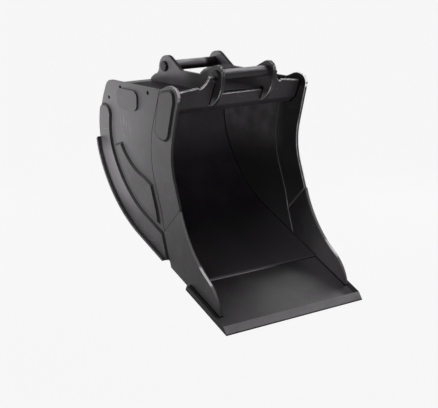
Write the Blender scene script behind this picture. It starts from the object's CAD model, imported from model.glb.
from math import radians, sin, cos, pi, tau
import bmesh
import bpy
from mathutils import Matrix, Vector
from mathutils.bvhtree import BVHTree


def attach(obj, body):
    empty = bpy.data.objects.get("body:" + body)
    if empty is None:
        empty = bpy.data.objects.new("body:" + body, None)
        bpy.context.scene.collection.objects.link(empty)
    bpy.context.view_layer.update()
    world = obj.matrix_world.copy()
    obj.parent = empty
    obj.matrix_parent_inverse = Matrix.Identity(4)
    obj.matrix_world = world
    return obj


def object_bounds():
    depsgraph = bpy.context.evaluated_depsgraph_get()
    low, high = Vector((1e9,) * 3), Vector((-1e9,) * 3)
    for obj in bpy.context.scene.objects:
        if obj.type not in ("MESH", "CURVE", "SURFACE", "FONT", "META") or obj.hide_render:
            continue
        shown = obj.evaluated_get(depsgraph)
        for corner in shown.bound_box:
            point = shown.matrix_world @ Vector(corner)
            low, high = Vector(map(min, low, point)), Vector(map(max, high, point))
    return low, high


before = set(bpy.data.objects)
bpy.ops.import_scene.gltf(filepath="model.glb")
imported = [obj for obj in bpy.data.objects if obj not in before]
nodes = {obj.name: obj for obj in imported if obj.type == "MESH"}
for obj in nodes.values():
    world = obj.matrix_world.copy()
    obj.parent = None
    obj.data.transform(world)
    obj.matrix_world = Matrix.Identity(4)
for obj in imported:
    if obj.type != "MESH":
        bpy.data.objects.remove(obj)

cad_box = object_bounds()

# Camera. The photograph looks into the mouth from the left front, a little from above,
# through a long lens, with the horizon level.
LENS = 98.55
SENSOR = 36.0
EYE_PLACE = (-4.1555, -5.2178, 0.9180)
EYE_ELEVATION = 14.09
EYE_AZIMUTH = -37.33
FAR_END = 60.0
eye = bpy.data.cameras.new("eye")
eye.lens = LENS
eye.sensor_width = SENSOR
eye.clip_end = FAR_END
camera = bpy.data.objects.new("camera", eye)
camera.location = EYE_PLACE
camera.rotation_euler = (radians(90 - EYE_ELEVATION), 0, radians(EYE_AZIMUTH))
bpy.context.collection.objects.link(camera)
bpy.context.scene.camera = camera

# Rolled shell. One plate of structural steel, rolled to the two radii of floor and back and bent over
# at the top. It wears the same satin dark grey coat as every welded plate of the bucket: faintly
# cloudy, with orange peel, thin scratches and bare steel where its edges rub.
SHELL_GREY = (0.210, 0.192, 0.210)
SHELL_SOILED = (0.100, 0.086, 0.100)
SHELL_SCOURED = (0.180, 0.162, 0.180)
SHELL_BRUSHED = (0.410, 0.374, 0.410)
SOILED_FROM_Z = (-0.47, -0.66)
SCOURED_FROM_Z = (-0.85, -1.00)
BRUSHED_FROM_X = (0.15, -0.35)
BRUSHED_FROM_Z = (-0.90, -1.03)
RUBBED_STEEL = (0.50, 0.485, 0.50)
RUBBED_SIDE = (-0.45, -0.85, 0.27)
CLOUD_SCALE = 5.5
MOTTLE_SCALE = 85.0
PATCH_SCALE = 3.3
CHIP_SCALE = 42.0
PEEL_SCALE = 260.0
BLOTCH_SCALE = 7.0
PEEL_HEIGHT = 0.0006


def add(tree, kind, values=(), **settings):
    """One node of a material, with its settings and its plain input values."""
    made = tree.nodes.new("ShaderNode" + kind)
    for key, value in settings.items():
        setattr(made, key, value)
    for key, value in dict(values).items():
        made.inputs[key].default_value = value
    return made


def place_of(tree):
    """Where a spot lies on the bucket."""
    return add(tree, "TexCoord").outputs["Object"]


def facing_of(tree):
    """The direction that a flat face looks in."""
    return add(tree, "NewGeometry").outputs["True Normal"]


def split(tree, source, axis):
    """One coordinate of a place or a direction."""
    made = add(tree, "SeparateXYZ")
    tree.links.new(source, made.inputs["Vector"])
    return made.outputs[axis]


def along(tree, source, direction):
    """How far a place or a direction reaches along another direction."""
    made = add(tree, "VectorMath", operation="DOT_PRODUCT")
    tree.links.new(source, made.inputs[0])
    if isinstance(direction, tuple):
        made.inputs[1].default_value = direction
    else:
        tree.links.new(direction, made.inputs[1])
    return made.outputs["Value"]


def ramp(tree, source, low, high, to_low=0.0, to_high=1.0):
    """A smooth step of a value between two levels."""
    made = add(tree, "MapRange", {"From Min": low, "From Max": high, "To Min": to_low, "To Max": to_high})
    made.interpolation_type = "SMOOTHSTEP"
    tree.links.new(source, made.inputs["Value"])
    return made.outputs["Result"]


def reckon(tree, operation, first, second):
    """A sum of two values, the second a plain number or another value."""
    made = add(tree, "Math", operation=operation)
    tree.links.new(first, made.inputs[0])
    if isinstance(second, (int, float)):
        made.inputs[1].default_value = second
    else:
        tree.links.new(second, made.inputs[1])
    return made.outputs["Value"]


def times(tree, first, *others):
    """Values multiplied together."""
    for other in others:
        first = reckon(tree, "MULTIPLY", first, other)
    return first


def either(tree, first, second):
    """The greater of two values."""
    return reckon(tree, "MAXIMUM", first, second)


def over(tree, under, top, amount):
    """One colour laid over another by an amount."""
    made = add(tree, "Mix", data_type="RGBA")
    tree.links.new(amount, made.inputs["Factor"])
    for socket, colour in (("A", under), ("B", top)):
        if isinstance(colour, tuple):
            made.inputs[socket].default_value = (*colour, 1)
        else:
            tree.links.new(colour, made.inputs[socket])
    return made.outputs["Result"]


def shade(colour, share):
    """A colour made lighter or darker."""
    return tuple(share * part for part in colour)


def noise(tree, place, scale, detail=4.0, stretch=(1, 1, 1), turn=(0, 0, 0)):
    """A noise over the piece, stretched and turned where it has a grain."""
    if stretch != (1, 1, 1):
        mapping = add(tree, "Mapping", {"Scale": stretch, "Rotation": turn})
        tree.links.new(place, mapping.inputs["Vector"])
        place = mapping.outputs["Vector"]
    made = add(tree, "TexNoise", {"Scale": scale, "Detail": detail, "Roughness": 0.6})
    tree.links.new(place, made.inputs["Vector"])
    return made.outputs["Fac"]


def rubbed_edges(tree, radius, side):
    """Edges that meet the soil, broken up by a finer noise, and the rounded normal over them."""
    round_off = add(tree, "Bevel", {"Radius": radius}, samples=6).outputs["Normal"]
    chips = ramp(tree, noise(tree, place_of(tree), CHIP_SCALE), 0.25, 0.62, 0.5, 1.0)
    sharp = ramp(tree, along(tree, round_off, facing_of(tree)), 0.995, 0.85)
    fore = ramp(tree, along(tree, round_off, side), 0.10, 0.55)
    return times(tree, sharp, chips, fore), round_off


def plate_paint(name, colour, rough=0.42, rubbed=0.55, scratched=0.22, edge=0.0022, sheen=0.16,
                bared=RUBBED_STEEL, side=RUBBED_SIDE):
    """Satin coat on plate: clouds, fine mottling, scratches, rubbed edges and orange peel."""
    mat = bpy.data.materials.new(name)
    mat.use_nodes = True
    tree = mat.node_tree
    link = tree.links.new
    shader = tree.nodes["Principled BSDF"]
    shader.inputs["Specular IOR Level"].default_value = sheen
    place = place_of(tree)
    clouds = noise(tree, place, CLOUD_SCALE, 6.0)
    mottle = noise(tree, place, MOTTLE_SCALE, 5.0)
    paint = over(tree, shade(colour, 0.86), shade(colour, 1.14), ramp(tree, clouds, 0.3, 0.7))
    paint = over(tree, paint, shade(colour, 1.35), times(tree, ramp(tree, mottle, 0.5, 0.8), 0.35))
    # thin scratches, two directions of them, only in patches
    patches = ramp(tree, noise(tree, place, PATCH_SCALE, 2.0), 0.45, 0.62)
    lengthwise = noise(tree, place, 26.0, 2.0, (1.0, 3.2, 0.12), (0.5, 0.0, 0.0))
    crosswise = noise(tree, place, 22.0, 2.0, (1.0, 0.14, 3.0), (-0.35, 0.3, 0.0))
    lines = either(tree, ramp(tree, lengthwise, 0.66, 0.72), ramp(tree, crosswise, 0.67, 0.73))
    paint = over(tree, paint, RUBBED_STEEL, times(tree, lines, patches, scratched))
    bare, round_off = rubbed_edges(tree, edge, side)
    bare = times(tree, bare, rubbed)
    link(bare, shader.inputs["Metallic"])
    link(over(tree, paint, bared, bare), shader.inputs["Base Color"])
    link(ramp(tree, clouds, 0.3, 0.7, rough - 0.05, rough + 0.06), shader.inputs["Roughness"])
    peel = add(tree, "Bump", {"Strength": 0.12, "Distance": PEEL_HEIGHT})
    link(noise(tree, place, PEEL_SCALE, 3.0), peel.inputs["Height"])
    link(round_off, peel.inputs["Normal"])
    link(peel.outputs["Normal"], shader.inputs["Normal"])
    return mat


def coat(mat, *names):
    """Give a finish to pieces of the frame."""
    for name in names:
        nodes[name].data.materials.clear()
        nodes[name].data.materials.append(mat)


def level(tree, axis, low, high):
    """How far a spot has gone from one level to another along an axis."""
    return ramp(tree, split(tree, place_of(tree), axis), low, high)


def tint(mat, colour, amount):
    """Lay another colour over a coat by an amount."""
    base = mat.node_tree.nodes["Principled BSDF"].inputs["Base Color"]
    mat.node_tree.links.new(over(mat.node_tree, base.links[0].from_socket, colour, amount), base)


def film(tree, amount, depth=0.35):
    """An amount made uneven by blotches, as a film of dried soil is."""
    blotches = noise(tree, place_of(tree), BLOTCH_SCALE, 5.0)
    return times(tree, amount, ramp(tree, blotches, 0.35, 0.65, 1.0 - depth, 1.0))


shell_coat = plate_paint("shell_coat", SHELL_GREY)
tree = shell_coat.node_tree
tint(shell_coat, SHELL_SOILED, film(tree, level(tree, "Z", *SOILED_FROM_Z), 0.2))
tint(shell_coat, SHELL_SCOURED, level(tree, "Z", *SCOURED_FROM_Z))
tint(shell_coat, SHELL_BRUSHED, times(tree, level(tree, "X", *BRUSHED_FROM_X),
                                      level(tree, "Z", *BRUSHED_FROM_Z)))
coat(shell_coat, "shell")

# Deck, cross plate and tube floor. Flat plate across the top, closed at the front by the leaning cross
# plate and the folded lip under it, so that the three make a stiff tube. They keep more of their coat.
DECK_GREY = (0.078, 0.070, 0.078)
BEAM_GREY = (0.158, 0.145, 0.158)
LIP_GREY = (0.110, 0.098, 0.110)
ROOT_DARK = (0.012, 0.010, 0.012)
GLINTING_STEEL = (0.90, 0.88, 0.90)
UPPER_SIDE = (-0.30, -0.55, 0.78)
BEAM_END_X = (0.436, 0.441)


def outward(tree, low, high):
    """How far a spot has gone from one distance to another off the bucket's middle plane."""
    return ramp(tree, reckon(tree, "ABSOLUTE", split(tree, place_of(tree), "X"), 0), low, high)


deck_coat = plate_paint("deck_coat", DECK_GREY, rough=0.6, sheen=0.03)
beam_coat = plate_paint("beam_coat", BEAM_GREY, rubbed=1.0, edge=0.012, bared=GLINTING_STEEL, side=UPPER_SIDE)
lip_coat = plate_paint("lip_coat", LIP_GREY, rubbed=0.15)
tint(beam_coat, ROOT_DARK, outward(beam_coat.node_tree, *BEAM_END_X))
coat(deck_coat, "deck")
coat(beam_coat, "cross_plate")
coat(lip_coat, "tube_floor")

# Cutting edge. Thick hard steel, flame cut and ground to a bevel. The bevel and the sharp corners
# are rubbed lighter than the coat behind them, and the top is speckled where soil has struck it.
EDGE_GREY = (0.130, 0.117, 0.130)
EDGE_SHADED = (0.240, 0.216, 0.240)
EDGE_SOILED = (0.055, 0.050, 0.055)
EDGE_OUTSIDE = (0.040, 0.036, 0.040)
BEVEL_RUBBED = (0.40, 0.384, 0.40)
LAND_GREY = (0.045, 0.042, 0.045)
PIT_GREY = (0.050, 0.047, 0.050)
BEVEL_NORMAL = (0.0, -0.806, 0.592)
BEVEL_FOOT = -1.299
BLADE_REAR = -0.129
SOIL_LEFT_X = (-0.15, 0.05)
SOIL_RIGHT_X = (0.33, 0.24)
SOIL_Y = (-0.34, -0.25)
SHADE_X = (0.27, 0.42)
SHADE_Y = (-0.44, -0.36)
OUTSIDE_X = (0.440, 0.462)
DULL_X = (0.33, 0.43)
LIT_SEAM_X = (0.20, 0.0)
PITTED_Y = (-0.30, -0.40)
PIT_SCALE = 60.0
TO_RIGHT = (-0.1, 0.1)
TO_LEFT = (0.1, -0.1)


def flat_side(tree, low, high):
    """One where a face lies square to the walls' flat, or across it, by two levels of its slant."""
    return ramp(tree, reckon(tree, "ABSOLUTE", split(tree, facing_of(tree), "X"), 0), low, high)


def bare_steel(tree, amount):
    """Take a coat's shine up to that of bare steel by an amount."""
    steel = tree.nodes["Principled BSDF"].inputs["Metallic"]
    tree.links.new(either(tree, steel.links[0].from_socket, amount), steel)


def dull(tree, amount):
    """Take a coat's shine away by an amount, as in a ground groove."""
    shader = tree.nodes["Principled BSDF"]
    for name, end in (("Metallic", 0.0), ("Roughness", 1.0)):
        kept = add(tree, "Mix", data_type="FLOAT")
        tree.links.new(amount, kept.inputs["Factor"])
        tree.links.new(shader.inputs[name].links[0].from_socket, kept.inputs["A"])
        kept.inputs["B"].default_value = end
        tree.links.new(kept.outputs["Result"], shader.inputs[name])


def rub_face(mat, normal, colour, amount):
    """Rub a face of a piece lighter, by the direction that it faces."""
    tree = mat.node_tree
    patch = ramp(tree, noise(tree, place_of(tree), 18.0, 5.0), 0.3, 0.6, 0.82, 1.0)
    mask = times(tree, ramp(tree, along(tree, facing_of(tree), normal), 0.97, 0.99), patch)
    tint(mat, colour, times(tree, mask, amount))
    bare_steel(tree, times(tree, mask, 0.3))


edge_coat = plate_paint("edge_coat", EDGE_GREY, rough=0.42, rubbed=0.5, scratched=0.08, sheen=0.15)
tree = edge_coat.node_tree
tint(edge_coat, PIT_GREY, times(tree, flat_side(tree, 0.8, 0.95), 0.95))
soiled = times(tree, level(tree, "X", *SOIL_LEFT_X), level(tree, "X", *SOIL_RIGHT_X),
               level(tree, "Y", *SOIL_Y))
tint(edge_coat, EDGE_SOILED, times(tree, soiled, 0.85))
tint(edge_coat, EDGE_SHADED, times(tree, level(tree, "X", *SHADE_X), level(tree, "Y", *SHADE_Y)))
tint(edge_coat, EDGE_OUTSIDE, times(tree, outward(tree, *OUTSIDE_X), level(tree, "X", *TO_RIGHT)))
rub_face(edge_coat, BEVEL_NORMAL, BEVEL_RUBBED, 0.95)
tint(edge_coat, LAND_GREY, level(tree, "Z", BEVEL_FOOT + 0.002, BEVEL_FOOT))
upward = split(tree, facing_of(tree), "Z")
seam_line = times(tree, level(tree, "Y", BLADE_REAR - 0.005, BLADE_REAR - 0.003),
                  ramp(tree, upward, 0.5, 0.8))
tint(edge_coat, LAND_GREY, seam_line)
dull(tree, times(tree, ramp(tree, upward, 0.75, 0.85), level(tree, "X", *DULL_X)))
lit_half = times(tree, seam_line, level(tree, "X", *LIT_SEAM_X))
tint(edge_coat, GLINTING_STEEL, times(tree, lit_half, 0.7))
bare_steel(tree, times(tree, lit_half, 0.5))
struck = add(tree, "TexVoronoi", {"Scale": PIT_SCALE})
tree.links.new(place_of(tree), struck.inputs["Vector"])
pits = times(tree, ramp(tree, struck.outputs["Distance"], 0.32, 0.2), level(tree, "Y", *PITTED_Y))
pits = times(tree, pits, ramp(tree, noise(tree, place_of(tree), 9.0), 0.5, 0.62))
tint(edge_coat, PIT_GREY, times(tree, pits, 0.6))
coat(edge_coat, "cutting_edge")

# Side walls. Each is a main plate and a front strip with a rounded nose, butted together with a
# grooved weld. Plate of 16 mm, painted on both faces.
WALL_GREY = (0.172, 0.163, 0.172)
WALL_CLEAN = (0.255, 0.243, 0.255)
WALL_SOILED = (0.120, 0.113, 0.120)
WALL_INSIDE = (0.720, 0.685, 0.720)
SEAM_DARK = (0.050, 0.047, 0.050)
SEAM_LIGHT = (0.600, 0.575, 0.600)
CLEAN_TO_Y = (0.12, 0.68)
WALL_SOILED_Z = (-0.50, -0.66)
INSIDE_Z = (-0.57, -0.35)
INSIDE_Y = (0.16, 0.30)
TUBE_Z = (-0.125, -0.10)
SCUFF_PLACE = (-0.463, 0.510, -0.335)
SCUFF_REACH = (0.10, 0.03)
CROSS_SEAM = (0.0, 0.714, 0.700)
CROSS_REACH = -0.519
CROSS_HALF = 0.003
CROSS_END_Y = (0.140, 0.130)
SEAM_FADES_Z = (-0.88, -0.84)
SEAM_SOFT = 0.001
NOSE_Z = (-0.20, -0.13)
NOSE_Y = (0.150, 0.125)
NOSE_CROWN_Z = (-0.13, -0.11)
NOSE_FRONT_Y = (0.050, 0.030)
NOSE_FRONT_Z = (-0.105, -0.090)
NOSE_ROUND = 0.007
FLECK_SCALE = 60.0


def inner_side(tree):
    """One on the faces of both side walls that look into the bucket."""
    across = split(tree, place_of(tree), "X")
    return ramp(tree, times(tree, across, split(tree, facing_of(tree), "X")), -0.1, -0.3)


def between(tree, direction, near, far, soft):
    """One between two reaches along a direction, with soft ends."""
    reach = along(tree, place_of(tree), direction)
    return times(tree, ramp(tree, reach, near - soft, near), ramp(tree, reach, far + soft, far))


def distance(tree, place, spot):
    """How far a place is from a spot."""
    made = add(tree, "VectorMath", {1: spot}, operation="DISTANCE")
    tree.links.new(place, made.inputs[0])
    return made.outputs["Value"]


wall_coat = plate_paint("wall_coat", WALL_GREY, rubbed=0.2)
tree = wall_coat.node_tree
inner = inner_side(tree)
tint(wall_coat, WALL_CLEAN, level(tree, "Y", *CLEAN_TO_Y))
tint(wall_coat, WALL_SOILED, times(tree, inner, level(tree, "Z", *WALL_SOILED_Z)))
inside = times(tree, inner, level(tree, "Z", *INSIDE_Z), level(tree, "Y", *INSIDE_Y))
tint(wall_coat, WALL_INSIDE, film(tree, inside, 0.5))
tint(wall_coat, SEAM_DARK, times(tree, inner, level(tree, "Z", *TUBE_Z), 0.85))
# a patch of short scuffs low behind the badge plate
place = place_of(tree)
strokes = ramp(tree, noise(tree, place, 34.0, 2.0, (1.0, 2.2, 0.5), (0.6, 0.0, 0.0)), 0.54, 0.62)
near_scuffs = ramp(tree, distance(tree, place, SCUFF_PLACE), *SCUFF_REACH)
tint(wall_coat, SEAM_LIGHT, times(tree, strokes, near_scuffs, 0.28))
# the ground groove of the seam, dark outside and light inside
groove = times(tree, flat_side(tree, 0.25, 0.4), flat_side(tree, 0.97, 0.93))
tint(wall_coat, SEAM_DARK, times(tree, groove, 0.7))
fading = ramp(tree, level(tree, "Z", *SEAM_FADES_Z), 0, 1, 0.25, 1.0)
tint(wall_coat, SEAM_LIGHT, times(tree, groove, inner, fading))
cross_seam = between(tree, CROSS_SEAM, CROSS_REACH - CROSS_HALF, CROSS_REACH + CROSS_HALF, SEAM_SOFT)
cross_seam = times(tree, cross_seam, level(tree, "Y", *CROSS_END_Y))
tint(wall_coat, SEAM_DARK, cross_seam)
dull(tree, cross_seam)
tint(wall_coat, SEAM_LIGHT, times(tree, cross_seam, inner, 0.4))
# bare steel round the noses and down the right mouth edge
noses = either(tree, level(tree, "Z", *NOSE_Z), level(tree, "X", *TO_RIGHT))
rims = times(tree, rubbed_edges(tree, NOSE_ROUND, RUBBED_SIDE)[0], noses, level(tree, "Y", *NOSE_Y))
flecks = ramp(tree, noise(tree, place, FLECK_SCALE, 2.0), 0.38, 0.48)
front_top = times(tree, level(tree, "Y", *NOSE_FRONT_Y), level(tree, "Z", *NOSE_FRONT_Z), flecks)
brighter = either(tree, front_top, level(tree, "X", *TO_RIGHT))
rims = times(tree, rims, ramp(tree, brighter, 0, 1, 0.25, 1.0))
crown = times(tree, flat_side(tree, 0.6, 0.3), level(tree, "Z", *NOSE_CROWN_Z), flecks)
crown = times(tree, crown, ramp(tree, level(tree, "X", *TO_RIGHT), 0, 1, 0.5, 1.0))
glints = either(tree, rims, times(tree, crown, level(tree, "Y", *NOSE_Y)))
tint(wall_coat, GLINTING_STEEL, glints)
bare_steel(tree, glints)
coat(wall_coat, "side_plate_left", "side_plate_right", "front_strip_left", "front_strip_right")

# Side cutters. Thicker, harder plate that stands on the cutting edge and does the slicing, so its
# front edge is rubbed bright.
CUTTER_GREY = (0.175, 0.166, 0.175)
CUTTER_SOILED = (0.090, 0.080, 0.090)
CUTTER_CLEAN = (0.260, 0.248, 0.260)
CUTTER_SOILED_Y = (-0.12, 0.04)
CUTTER_CLEAN_Y = (-0.06, -0.25)
SLICING_SIDE = (0.0, -0.80, 0.60)
SLICING_FOOT_Z = (-1.22, -1.10)
KEENEST_TOP_Z = (-0.990, -1.010)
KEENEST_FOOT_Z = (-1.090, -1.072)
CUTTER_OUTER_X = (0.4690, 0.4675)
CUTTER_INNER_X = (0.4530, 0.4510)
CUTTER_SEAM_LOW = 0.004
cutter_coat = plate_paint("cutter_coat", CUTTER_GREY, rough=0.34, rubbed=0.25, scratched=0.35)
tree = cutter_coat.node_tree
inner = inner_side(tree)
tint(cutter_coat, CUTTER_SOILED, film(tree, times(tree, inner, level(tree, "Y", *CUTTER_SOILED_Y))))
tint(cutter_coat, CUTTER_CLEAN, film(tree, times(tree, inner, level(tree, "Y", *CUTTER_CLEAN_Y))))
groove = times(tree, flat_side(tree, 0.25, 0.4), flat_side(tree, 0.97, 0.93))
cross_seam = between(tree, CROSS_SEAM, CROSS_REACH - CUTTER_SEAM_LOW, CROSS_REACH + CROSS_HALF, SEAM_SOFT)
groove = either(tree, groove, cross_seam)
tint(cutter_coat, SEAM_DARK, groove)
dull(tree, groove)
tint(cutter_coat, SEAM_LIGHT, times(tree, groove, inner, 0.4))
# the slicing edge, bare from end to end and brightest half way down
front = ramp(tree, along(tree, facing_of(tree), SLICING_SIDE), 0.5, 0.75)
keenest = times(tree, level(tree, "Z", *KEENEST_TOP_Z), level(tree, "Z", *KEENEST_FOOT_Z))
sliced = times(tree, front, level(tree, "Z", *SLICING_FOOT_Z), ramp(tree, keenest, 0, 1, 0.35, 1.0))
sliced = times(tree, sliced, ramp(tree, level(tree, "X", *TO_LEFT), 0, 1, 0.8, 1.0))
sliced = times(tree, sliced, outward(tree, *CUTTER_OUTER_X))
tint(cutter_coat, RUBBED_STEEL, sliced)
bare_steel(tree, times(tree, sliced, 0.85))
tint(cutter_coat, SEAM_DARK, times(tree, front, outward(tree, *CUTTER_INNER_X)))
coat(cutter_coat, "side_cutter_left", "side_cutter_right")

# Wear plates. Hard plate of 11 mm, cut to shape and laid flat on the walls: a strip round each rear
# corner, a crescent inside it, a pad beside the nose and a bare badge plate on the left.
WEAR_GREY = (0.195, 0.185, 0.195)
WEAR_FRONT = (0.152, 0.144, 0.152)
WEAR_CLEAN = (0.430, 0.410, 0.430)
WEAR_FRONT_Y = (0.30, 0.12)
STRIP_TOP_Z = (-0.42, -0.52)
STRIP_FOOT_Z = (-0.84, -0.68)
wear_coat = plate_paint("wear_coat", WEAR_GREY, rubbed=0.15, scratched=0.3)
tint(wear_coat, WEAR_FRONT, level(wear_coat.node_tree, "Y", *WEAR_FRONT_Y))
coat(wear_coat, "crescent_plate_left", "crescent_plate_right")
coat(wear_coat, "nose_pad_left", "nose_pad_right", "badge_plate_left")
strip_coat = plate_paint("strip_coat", WEAR_GREY, rubbed=0.15, scratched=0.3)
tree = strip_coat.node_tree
tint(strip_coat, WEAR_CLEAN, times(tree, level(tree, "Z", *STRIP_TOP_Z), level(tree, "Z", *STRIP_FOOT_Z)))
coat(strip_coat, "corner_strip_left", "corner_strip_right")

# Heel plates. Bent hard plate round both corners of the heel, overhanging the walls. They drag on the
# ground, so they are scratched most.
HEEL_GREY = (0.165, 0.156, 0.165)
heel_coat = plate_paint("heel_coat", HEEL_GREY, rough=0.4, rubbed=0.4, scratched=0.5)
coat(heel_coat, "heel_plate_left", "heel_plate_right")

# Hangers. Two thick flame-cut plates with an ear at the front and at the rear, hooked over the cross
# plate. They carry the pins.
HANGER_GREY = (0.200, 0.188, 0.200)
HANGER_REAR = (0.430, 0.410, 0.430)
HANGER_EDGE = (0.230, 0.217, 0.230)
HANGER_SHADED = (0.100, 0.094, 0.100)
HANGER_REAR_Z = (-0.080, -0.015)
HANGER_REAR_Y = (0.16, 0.38)
SHADED_REAR_Y = (0.34, 0.18)
SHADED_FRONT_Y = (0.055, 0.10)
HOOK_EDGE_Z = (-0.11, -0.15)
HOOK_GLINT_Z = (-0.05, -0.11)
HOOK_TIP_Z = (-0.115, -0.165)
HOOK_ROUND = 0.010
EAR_TOP_Z = (-0.01, 0.02)
EAR_FRONT_Y = (0.02, -0.01)
BEAM_NORMAL = (0.0, -0.917, -0.399)
BEAM_REACH = 0.0037
ROOT_RIGHT_Z = (-0.095, -0.105)
ROOT_LEFT_Z = (-0.035, -0.055)
COPE_HOLE = (0.170, 0.053, 0.105)
COPE_REACH = (0.017, 0.013)
hanger_coat = plate_paint("hanger_coat", HANGER_GREY, rough=0.45, rubbed=0.3, edge=0.003, sheen=0.08)
tree = hanger_coat.node_tree
ends = flat_side(tree, 0.6, 0.3)
tint(hanger_coat, HANGER_REAR, times(tree, level(tree, "Z", *HANGER_REAR_Z),
                                    level(tree, "Y", *HANGER_REAR_Y)))
shaded = times(tree, level(tree, "Y", *SHADED_REAR_Y), level(tree, "Y", *SHADED_FRONT_Y))
tint(hanger_coat, HANGER_SHADED, times(tree, shaded, level(tree, "X", *TO_LEFT)))
tint(hanger_coat, HANGER_EDGE, times(tree, ends, 0.8))
tint(hanger_coat, SEAM_DARK, times(tree, ends, level(tree, "Z", *HOOK_EDGE_Z), 0.8))
# bare steel on the tips of the hooks and over the tops of the front ears
glint = times(tree, rubbed_edges(tree, HOOK_ROUND, RUBBED_SIDE)[0], level(tree, "Z", *HOOK_GLINT_Z))
crown = times(tree, ends, level(tree, "Z", *EAR_TOP_Z), level(tree, "Y", *EAR_FRONT_Y))
crown = times(tree, crown, ramp(tree, noise(tree, place_of(tree), 95.0, 2.0), 0.44, 0.56, 0.0, 0.5))
glints = either(tree, glint, crown)
tint(hanger_coat, GLINTING_STEEL, glints)
bare_steel(tree, glints)
tint(hanger_coat, GLINTING_STEEL, times(tree, flat_side(tree, 0.8, 0.95), level(tree, "Z", *HOOK_TIP_Z)))
# the shadowed root where each hook leaves the cross plate, and the cope hole above it
root = between(tree, BEAM_NORMAL, BEAM_REACH - 0.002, BEAM_REACH + 0.006, 0.003)
left_root = times(tree, level(tree, "X", *TO_LEFT), level(tree, "Z", *ROOT_LEFT_Z))
tint(hanger_coat, ROOT_DARK, times(tree, root, either(tree, level(tree, "Z", *ROOT_RIGHT_Z), left_root)))
for mat in (hanger_coat, beam_coat, deck_coat):
    mirrored = add(mat.node_tree, "VectorMath", operation="ABSOLUTE")
    mat.node_tree.links.new(place_of(mat.node_tree), mirrored.inputs[0])
    to_cope = distance(mat.node_tree, mirrored.outputs["Vector"], COPE_HOLE)
    tint(mat, ROOT_DARK, ramp(mat.node_tree, to_cope, *COPE_REACH))
coat(hanger_coat, "hanger_left", "hanger_right")

# Pins. Turned bar, 60 mm thick, bare and faintly grooved round between the hangers, painted with them
# at the ends and a little way inside. The front one has a grease hole in its left end.
PIN_PAINT = (0.110, 0.104, 0.110)
PIN_STEEL = (0.400, 0.387, 0.400)
PIN_OILED = (0.048, 0.045, 0.048)
PIN_OILED_REAR = (0.140, 0.130, 0.140)
PIN_BARE_HALF = 0.150
PIN_PAINT_HALF = 0.182
PIN_BARE_SHIFT = 0.02
REAR_PIN_Y = (0.1, 0.2)
REAR_PIN_LESS = 0.045
OILED_Z = (0.024, 0.006)
GREASE_HOLE = (-0.208, -0.014, -0.016)
GREASE_REACH = (0.013, 0.009)
pin_steel = plate_paint("pin_steel", PIN_PAINT, rough=0.42, rubbed=0.5, sheen=0.08)
tree = pin_steel.node_tree
shader = tree.nodes["Principled BSDF"]
place = place_of(tree)
reach = reckon(tree, "ABSOLUTE", reckon(tree, "ADD", split(tree, place, "X"), PIN_BARE_SHIFT), 0)
reach = reckon(tree, "ADD", reach, times(tree, level(tree, "Y", *REAR_PIN_Y), REAR_PIN_LESS))
ragged = reckon(tree, "ADD", reach, times(tree, noise(tree, place, 30.0), 0.02))
turned = ramp(tree, ragged, PIN_PAINT_HALF, PIN_BARE_HALF)
streaks = noise(tree, place, 14.0, 6.0, (0.45, 5.5, 5.5))
bright = over(tree, shade(PIN_STEEL, 0.55), shade(PIN_STEEL, 1.5), ramp(tree, streaks, 0.35, 0.68))
oiled = over(tree, PIN_OILED, PIN_OILED_REAR, level(tree, "Y", *REAR_PIN_Y))
bright = over(tree, bright, oiled, level(tree, "Z", *OILED_Z))
tint(pin_steel, bright, turned)
tree.links.new(times(tree, turned, 0.6), shader.inputs["Metallic"])
turned_rough = add(tree, "Mix", data_type="FLOAT")
tree.links.new(turned, turned_rough.inputs["Factor"])
tree.links.new(shader.inputs["Roughness"].links[0].from_socket, turned_rough.inputs["A"])
tree.links.new(ramp(tree, streaks, 0.3, 0.7, 0.32, 0.5), turned_rough.inputs["B"])
tree.links.new(turned_rough.outputs["Result"], shader.inputs["Roughness"])
tint(pin_steel, ROOT_DARK, ramp(tree, distance(tree, place, GREASE_HOLE), *GREASE_REACH))
coat(pin_steel, "front_pin", "rear_pin")

# Welds. A hollow-ground fillet runs wherever one plate stands or lies on another, dressed smooth and
# painted over, with faint ripples left by the torch and some soil held in the root.
WELD_GREY = (0.038, 0.036, 0.038)
ROOT_GREY = (0.018, 0.016, 0.018)
SHELL_WELD_GREY = (0.055, 0.050, 0.055)
RIPPLE = 0.0035
RIPPLE_HEIGHT = 0.0006
SAME_SPOT = 1e-6
TOUCHING = 0.0008
HOLLOW = 0.55
ROOT_SINK = 0.1
WEAR_LEG = 0.012
HEEL_LEG = 0.009
SEAM_LEG = 0.005
BEAM_LEG = 0.008
weld_coat = plate_paint("weld_coat", WELD_GREY, rough=0.5, rubbed=0.0, scratched=0.0)
root_coat = plate_paint("root_coat", ROOT_GREY, rough=0.6, rubbed=0.0, scratched=0.0, sheen=0.03)
shell_weld_coat = plate_paint("shell_weld_coat", SHELL_WELD_GREY, rough=0.6, rubbed=0.0, scratched=0.0,
                              sheen=0.03)
tree = weld_coat.node_tree
shader = tree.nodes["Principled BSDF"]
upward = split(tree, add(tree, "NewGeometry").outputs["Normal"], "Z")
tint(weld_coat, WALL_GREY, ramp(tree, upward, 0.35, 0.75))
run = add(tree, "Attribute", attribute_name="run")
beat = add(tree, "Math", operation="SINE")
tree.links.new(times(tree, run.outputs["Fac"], tau / RIPPLE), beat.inputs[0])
ripples = add(tree, "Bump", {"Strength": 0.5, "Distance": RIPPLE_HEIGHT})
tree.links.new(beat.outputs["Value"], ripples.inputs["Height"])
tree.links.new(shader.inputs["Normal"].links[0].from_socket, ripples.inputs["Normal"])
tree.links.new(ripples.outputs["Normal"], shader.inputs["Normal"])


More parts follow.
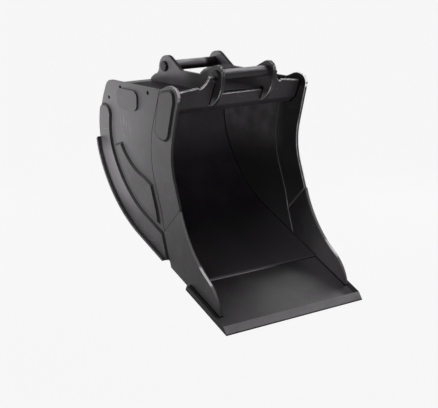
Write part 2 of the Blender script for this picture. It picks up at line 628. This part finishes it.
def merged(*names):
    """The solids of some nodes in one mesh, with their loose corners joined."""
    bm = bmesh.new()
    for name in names:
        bm.from_mesh(nodes[name].data)
    bmesh.ops.remove_doubles(bm, verts=bm.verts, dist=SAME_SPOT)
    bm.normal_update()
    return bm


def seam_corners(name, carriers, leg):
    """Where a plate's edges meet what carries it: both ends and both leg directions of each stretch."""
    bm = merged(name)
    carrying = merged(*carriers)
    surface = BVHTree.FromBMesh(carrying)
    carrying.free()
    stretches = []
    for edge in bm.edges:
        if len(edge.link_faces) != 2 or edge.calc_face_angle(0) < radians(30):
            continue
        middle = (edge.verts[0].co + edge.verts[1].co) / 2
        _, normal, _, gap = surface.find_nearest(middle)
        if gap > TOUCHING:
            continue
        laid = min(edge.link_faces, key=lambda face: face.normal.dot(normal))
        side = [face for face in edge.link_faces if face is not laid][0]
        if laid.normal.dot(normal) > -0.9 or side.normal.dot(normal) < -0.5:
            continue
        up = (normal - side.normal * normal.dot(side.normal)).normalized()
        out = (side.normal - normal * normal.dot(side.normal)).normalized()
        toe = surface.find_nearest(middle + out * leg * 0.9)
        if toe[3] > 0.001:
            continue
        stretches.append((edge.verts[0].index, edge.verts[1].index, up, out))
    places = {v.index: v.co.copy() for v in bm.verts}
    bm.free()
    return stretches, places


def chains(stretches):
    """The stretches put end to end, as lists of corners, each with its stretch before and after."""
    at = {}
    for stretch in stretches:
        at.setdefault(stretch[0], []).append(stretch)
        at.setdefault(stretch[1], []).append(stretch)
    left = {id(s) for s in stretches}
    ends = [v for v, meets in at.items() if len(meets) != 2] + list(at)
    for first in ends:
        while True:
            going = [s for s in at[first] if id(s) in left]
            if not going:
                break
            stop, run, here = [first], [], first
            while going:
                step = going[0]
                left.discard(id(step))
                here = step[1] if step[0] == here else step[0]
                run.append(step)
                stop.append(here)
                going = [s for s in at[here] if id(s) in left] if len(at[here]) == 2 else []
            yield stop, run


def fillet_welds(piece, jobs, leg, coat_of=weld_coat, steps=4):
    """Hollow fillets of one size along every seam of some plates, as one welded piece."""
    bm = bmesh.new()
    run_at = bm.verts.layers.float.new("run")
    for name, carriers in jobs:
        stretches, places = seam_corners(name, carriers, leg)
        for stops, run in chains(stretches):
            closed = stops[0] == stops[-1] and len(run) > 2
            rings, reach, previous = [], 0.0, None
            count = len(run) if closed else len(stops)
            for place in range(count):
                after = run[place % len(run)]
                before = run[place - 1] if place or closed else after
                if not closed and place == len(run):
                    after = before
                up = (before[2] + after[2]).normalized()
                out = (before[3] + after[3]).normalized()
                spread = min(1.0 / max(out.dot(after[3]), 0.3), 1.6)
                root = places[stops[place]]
                if previous is not None:
                    reach += (root - previous).length
                previous = root
                section = [root - (up + out) * leg * ROOT_SINK]
                for step in range(steps + 1):
                    turn = pi / 2 * step / steps
                    across = HOLLOW * (1 - cos(turn)) + (1 - HOLLOW) * step / steps
                    height = HOLLOW * (1 - sin(turn)) + (1 - HOLLOW) * (1 - step / steps)
                    section.append(root + out * leg * spread * across + up * leg * height)
                corners = [bm.verts.new(co) for co in section]
                for corner in corners:
                    corner[run_at] = reach
                rings.append([bm.edges.new((corners[i - 1], corners[i])) for i in range(len(corners))])
            pairs = list(zip(rings, rings[1:]))
            if closed:
                pairs.append((rings[-1], rings[0]))
            for first, second in pairs:
                bmesh.ops.bridge_loops(bm, edges=first + second)
            if not closed:
                bmesh.ops.contextual_create(bm, geom=rings[0])
                bmesh.ops.contextual_create(bm, geom=rings[-1])
    bmesh.ops.recalc_face_normals(bm, faces=bm.faces)
    mesh = bpy.data.meshes.new(piece)
    bm.to_mesh(mesh)
    bm.free()
    mesh.shade_smooth()
    mesh.set_sharp_from_angle(angle=radians(40))
    mesh.materials.append(coat_of)
    weld = bpy.data.objects.new(piece, mesh)
    bpy.context.collection.objects.link(weld)
    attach(weld, "root")


for hand in ("left", "right"):
    wall = ["side_plate_" + hand, "front_strip_" + hand, "side_cutter_" + hand]
    wear = ["corner_strip_" + hand, "crescent_plate_" + hand, "nose_pad_" + hand]
    fillet_welds("wear_welds_" + hand, [(name, wall) for name in wear], WEAR_LEG)
    fillet_welds("shell_weld_" + hand, [(name, wall) for name in ("shell", "deck")], SEAM_LEG,
                 shell_weld_coat)
    fillet_welds("beam_weld_" + hand, [(name, wall) for name in ("cross_plate", "tube_floor")], BEAM_LEG,
                 root_coat)
    fillet_welds("cutter_weld_" + hand, [("side_cutter_" + hand, ["cutting_edge"])], SEAM_LEG, root_coat)
    fillet_welds("hanger_weld_" + hand, [("hanger_" + hand, ["deck", "shell", "cross_plate"])], SEAM_LEG)
    fillet_welds("heel_weld_" + hand, [("heel_plate_" + hand, ["shell", "side_plate_" + hand])], HEEL_LEG)
fillet_welds("deck_weld", [("deck", ["cross_plate"])], BEAM_LEG, beam_coat)

# Floor. A plain pale sheet under the bucket's lowest edge, which keeps its soft shadow. What the
# camera, a shiny face or a clear one sees of it is its own pale colour.
FLOOR_LEVEL = cad_box[0][2] - 0.001
FLOOR_SIZE = 30.0
FLOOR_PAINT = 0.22
FLOOR_SEEN = 0.018
FLOOR_GLOW = 0.924
floor_sheet = bmesh.new()
bmesh.ops.create_grid(floor_sheet, x_segments=1, y_segments=1, size=FLOOR_SIZE)
bmesh.ops.translate(floor_sheet, vec=(0, 0, FLOOR_LEVEL), verts=floor_sheet.verts)
floor_mesh = bpy.data.meshes.new("floor")
floor_sheet.to_mesh(floor_mesh)
floor_sheet.free()
floor = bpy.data.objects.new("floor", floor_mesh)
bpy.context.collection.objects.link(floor)


def seen_directly(tree):
    """One where the camera looks straight at the surface, or by way of a shiny or clear face."""
    path = add(tree, "LightPath")
    seen = path.outputs["Is Camera Ray"]
    for ray in ("Is Glossy Ray", "Is Transmission Ray"):
        seen = either(tree, seen, path.outputs[ray])
    return seen


pale = bpy.data.materials.new("pale_floor")
pale.use_nodes = True
tree = pale.node_tree
tree.nodes.clear()
out = add(tree, "OutputMaterial")
matt = add(tree, "BsdfDiffuse")
tree.links.new(over(tree, (FLOOR_PAINT,) * 3, (FLOOR_SEEN,) * 3, seen_directly(tree)), matt.inputs["Color"])
glow = add(tree, "Emission")
tree.links.new(times(tree, seen_directly(tree), FLOOR_GLOW), glow.inputs["Strength"])
both = add(tree, "AddShader")
tree.links.new(matt.outputs["BSDF"], both.inputs[0])
tree.links.new(glow.outputs["Emission"], both.inputs[1])
tree.links.new(both.outputs["Shader"], out.inputs["Surface"])
floor_mesh.materials.append(pale)

# Studio light. Soft boxes round the bucket, the strongest behind it and at its right. The small ones
# fill the left wall, the mouth, the blade and the right cutter. The camera sees none of them.
BODY_MIDDLE = (0, 0.1, -0.65)


def soft_box(name, place, aim, width, height, power, spread=180):
    """One lamp with a plain face, turned to a spot that it lights."""
    lamp = bpy.data.lights.new(name, "AREA")
    lamp.shape = "RECTANGLE"
    lamp.size = width
    lamp.size_y = height
    lamp.energy = power
    lamp.spread = radians(spread)
    box = bpy.data.objects.new(name, lamp)
    box.visible_camera = False
    box.location = place
    box.rotation_euler = (Vector(aim) - Vector(place)).to_track_quat("-Z", "Y").to_euler()
    bpy.context.collection.objects.link(box)


soft_box("rear_low_box", (-0.87, 3.35, -1.12), BODY_MIDDLE, 1.2, 1.2, 46.4)
soft_box("right_box", (3.12, 0.94, 0.40), BODY_MIDDLE, 1.2, 1.2, 64.1)
soft_box("front_low_box", (-2.38, -2.28, -1.12), BODY_MIDDLE, 1.2, 1.2, 5.1)
soft_box("left_box", (-2.3, 1.9, -0.1), (-0.46, 0.6, -0.25), 1.2, 1.0, 3.24, spread=90)
soft_box("left_high_box", (-1.6, 1.2, 0.4), (-0.46, 0.8, -0.1), 0.6, 0.6, 1.7, spread=120)
soft_box("left_low_box", (-1.4, 1.0, -0.9), (-0.46, 0.6, -0.5), 0.6, 0.6, 0.73, spread=120)
soft_box("blade_box", (1.65, 0.53, 0.62), (0.1, -0.37, -1.22), 0.4, 0.4, 0.17, spread=28)
soft_box("mouth_box", (-0.6, -2.6, -1.1), (0.1, 0.5, -0.2), 0.6, 0.25, 0.21, spread=30)
soft_box("cutter_box", (-1.8, -2.6, -0.3), (0.46, -0.35, -1.05), 0.4, 0.4, 0.22, spread=18)

# Room. It gives no light of its own. What the camera or a shiny face sees of its far walls is pale,
# as behind the bucket in the photograph.
DIM_ROOM = 0.0
BACKGROUND = 0.93
world = bpy.data.worlds.new("room")
bpy.context.scene.world = world
world.use_nodes = True
tree = world.node_tree
tree.nodes.clear()
out = add(tree, "OutputWorld")
dim = add(tree, "Background", {"Color": (DIM_ROOM, DIM_ROOM, DIM_ROOM, 1)})
bright = add(tree, "Background", {"Color": (BACKGROUND, BACKGROUND, BACKGROUND, 1)})
mix = add(tree, "MixShader")
tree.links.new(seen_directly(tree), mix.inputs["Fac"])
tree.links.new(dim.outputs["Background"], mix.inputs[1])
tree.links.new(bright.outputs["Background"], mix.inputs[2])
tree.links.new(mix.outputs["Shader"], out.inputs["Surface"])

bpy.context.scene.view_settings.view_transform = "Standard"
